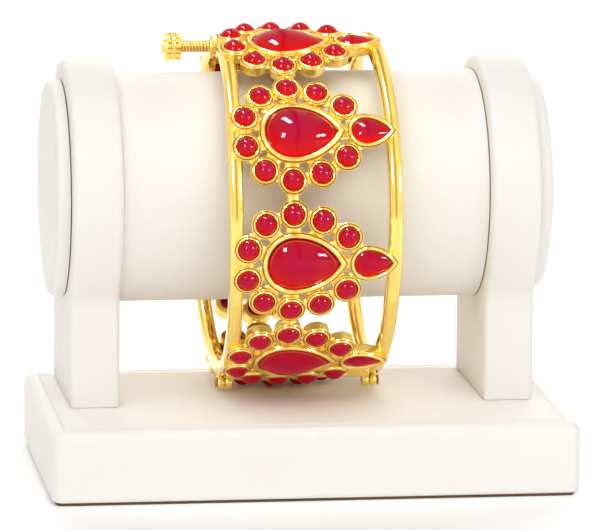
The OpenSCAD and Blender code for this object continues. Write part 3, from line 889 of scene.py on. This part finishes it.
def stones(body, first, half, numbers):
    """The stones of one half: its round ones as one piece, and each pear and drop as its own. A round stone
    is a pear with next to no tip. Down is the way to the ground along a half's arc."""
    down = -1 if half == "front" else 1
    r = ROUND_R + ROUND_UNDER
    dome = cabochon(r, r + 1e-6, ROUND_GIRDLE_H, ROUND_TOP_H, rings=10)
    field = at_rounds(dome, first)
    # How low each point lies, by which the stones' material paints a glow low down.
    low = np.tile(down * dome[0][:, 1] / ROUND_R, len(field[0]) // len(dome[0]))
    shown = piece(f"{half}_round_cabochons", field, RUBY, body, low=low)
    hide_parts(f"{half}_round_stones")
    for number, angle in zip(numbers, motif_angles(first)):
        big = bent(cabochon(PEAR_R, PEAR_TIP, PEAR_GIRDLE_H, PEAR_TOP_H, rings=24))
        small = moved(bent(cabochon(DROP_R, DROP_TIP, PEAR_GIRDLE_H, DROP_TOP_H, rings=14)), DROP_X)
        for name, form, r in (("pear", big, PEAR_R), ("drop", small, DROP_R)):
            # How low each point lies, for the painted glow low in the stone.
            low = down * form[0][:, 1] / r
            stone = on_ring(moved(form, MOTIF_X), angle)
            shown = piece(f"{name}_cabochon_{number}", stone, RUBY, body, low=low)
            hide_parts(f"{name}_stone_{number}")


def stand():
    """The covered stand, each of its solids dressed by a piece with soft edges."""
    made = {"stand_base": stand_base(),
            "left_post": upright("left_post"), "right_post": upright("right_post"), "display_roll": roll(),
            "left_disc": disc("left_disc"), "right_disc": disc("right_disc")}
    for node, form in made.items():
        shown = piece(f"{node}_cover", form, COVER, BACK_BODY, sharp=60.0)
        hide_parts(node)


def hinge_and_screw():
    """The two hinge pins and the clasp screw."""
    left_head = left_barrel(0) - PIN_HEAD_GAP - PIN_HEAD_T
    right_head = right_barrel(0) + BARREL_W + PIN_HEAD_GAP
    pins = {"hinge_pin_left": hinge_pin(left_barrel(0), left_head),
            "hinge_pin_right": hinge_pin(right_barrel(1), right_head)}
    for node, form in pins.items():
        shown = piece(f"{node}_rivet", form, GOLD, BACK_BODY)
        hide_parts(node)
    shown = piece("knurled_screw", screw(), GOLD, SCREW_BODY)
    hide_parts("clasp_screw")


# Room, light and camera


def backdrop():
    """A plain pale floor."""
    corners = [(x * FLOOR_REACH, y * FLOOR_REACH, 0) for x, y in ((-1, -1), (1, -1), (1, 1), (-1, 1))]
    mesh = bpy.data.meshes.new("floor")
    mesh.from_pydata(corners, [], [(0, 1, 2, 3)])
    floor = bpy.data.objects.new("floor", mesh)
    bpy.context.scene.collection.objects.link(floor)
    material, tree, surface = new_material("pale_floor")
    tone = noise(tree, place(tree), 3.0)
    colour = mix_colour(tree, tone, rgb(0.93, 0.93, 0.93), rgb(0.95, 0.95, 0.95))
    surface(Base_Color=colour, Roughness=0.6)
    mesh.materials.append(material)


def camera_axes():
    """The camera's right, up and back directions, from its yaw, pitch and roll."""
    yaw, pitch, roll_angle = (math.radians(v) for v in (CAMERA_YAW, CAMERA_PITCH, CAMERA_ROLL))
    forward = Vector((math.sin(yaw) * math.cos(pitch), math.cos(yaw) * math.cos(pitch), -math.sin(pitch)))
    right = Vector((math.cos(yaw), -math.sin(yaw), 0.0))
    up = right.cross(forward)
    across = math.cos(roll_angle) * right + math.sin(roll_angle) * up
    upward = math.cos(roll_angle) * up - math.sin(roll_angle) * right
    return across, upward, -forward


def lamp(name, kind, towards, strength):
    """A light seen from the object in a direction given in the camera's axes, and turned to it."""
    direction = sum((share * axis for share, axis in zip(towards, camera_axes())), Vector()).normalized()
    light = bpy.data.lights.new(name, kind)
    light.energy = strength
    shown = bpy.data.objects.new(name, light)
    shown.location = Vector(LIGHT_AIM) + direction * LIGHT_DISTANCE
    shown.rotation_mode = "QUATERNION"
    shown.rotation_quaternion = direction.to_track_quat("Z", "Y")
    bpy.context.scene.collection.objects.link(shown)
    return shown


def soft_sun(name, towards, spread, strength):
    """A broad soft light for matt surfaces, too soft to show in polished ones."""
    shown = lamp(name, "SUN", towards, strength)
    shown.data.angle = math.radians(spread)
    shown.visible_glossy = False


def panel(name, towards, w, h, radiance):
    """A panel that gives polished surfaces their highlights. Its power is radiance times area times pi."""
    shown = lamp(name, "AREA", towards, radiance * w * h * math.pi)
    shown.data.shape = "RECTANGLE"
    shown.data.size, shown.data.size_y = w, h
    shown.visible_diffuse = False


def lights():
    """Broad soft light from high in front, low behind and both sides, and a pale surround with warm dim
    bands for the gold to reflect, with small panels high on the left, overhead and on the right."""
    world = bpy.data.worlds.new("surround")
    bpy.context.scene.world = world
    world.cycles_visibility.diffuse = False
    world.use_nodes = True
    tree = world.node_tree
    tree.nodes.clear()
    where = add(tree, "ShaderNodeTexCoord", None, None, "Generated")
    across = add(tree, "ShaderNodeSeparateXYZ", None, {"Vector": where}, "X") * 0.5 + 0.5
    white, warm, dark = (1.15, 1.08, 0.98), (0.92, 0.6, 0.27), (0.5, 0.28, 0.09)
    bands = add(tree, "ShaderNodeValToRGB", {"stops": [
        (0.0, white), (0.13, warm), (0.25, white), (0.5, white), (0.54, dark), (0.562, dark), (0.60, white),
        (0.77, white), (0.88, warm), (1.0, white)]}, {"Fac": across}, "Color")
    shader = add(tree, "ShaderNodeBackground", None, {"Color": bands, "Strength": 1.0})
    add(tree, "ShaderNodeOutputWorld", None, {"Surface": shader})
    soft_sun("front_sun", (0.0, 0.71, 0.71), 90.0, 2.45)
    soft_sun("back_sun", (0.0, 0.35, -0.94), 70.0, 4.7)
    soft_sun("right_sun", (0.9, 0.3, 0.33), 90.0, 0.45)
    soft_sun("left_sun", (-0.9, 0.3, 0.33), 90.0, 0.4)
    panel("overhead", (-0.16, 0.95, 0.26), 1.5, 0.45, 70.0)
    panel("key_left", (-0.32, 0.35, 0.88), 0.42, 0.7, 75.0)
    panel("side_right", (0.80, 0.2, 0.57), 0.75, 0.45, 75.0)


def camera():
    """The camera, set back from its target by its distance."""
    across, upward, back = camera_axes()
    data = bpy.data.cameras.new("camera")
    data.sensor_width = SENSOR_WIDTH
    data.lens = CAMERA_LENS
    data.clip_start, data.clip_end = 0.05, 20.0
    shown = bpy.data.objects.new("camera", data)
    turn = Matrix((across, upward, back)).transposed()
    place_mm = Vector(CAMERA_TARGET) + back * CAMERA_DISTANCE
    shown.matrix_world = Matrix.Translation(place_mm * MM) @ turn.to_4x4()
    bpy.context.scene.collection.objects.link(shown)
    bpy.context.scene.camera = shown
    bpy.context.scene.view_settings.view_transform = "Standard"


bangle_half("front", FRONT_BODY, HINGE_ANGLE, 1, 1, [1])
bangle_half("back", BACK_BODY, CLASP_ANGLE, -1, 0, [0, 2])
stones(FRONT_BODY, HINGE_ANGLE, "front", [1, 2, 3, 4])
stones(BACK_BODY, CLASP_ANGLE, "back", [5, 6, 7, 8])
hinge_and_screw()
stand()
backdrop()
lights()
camera()
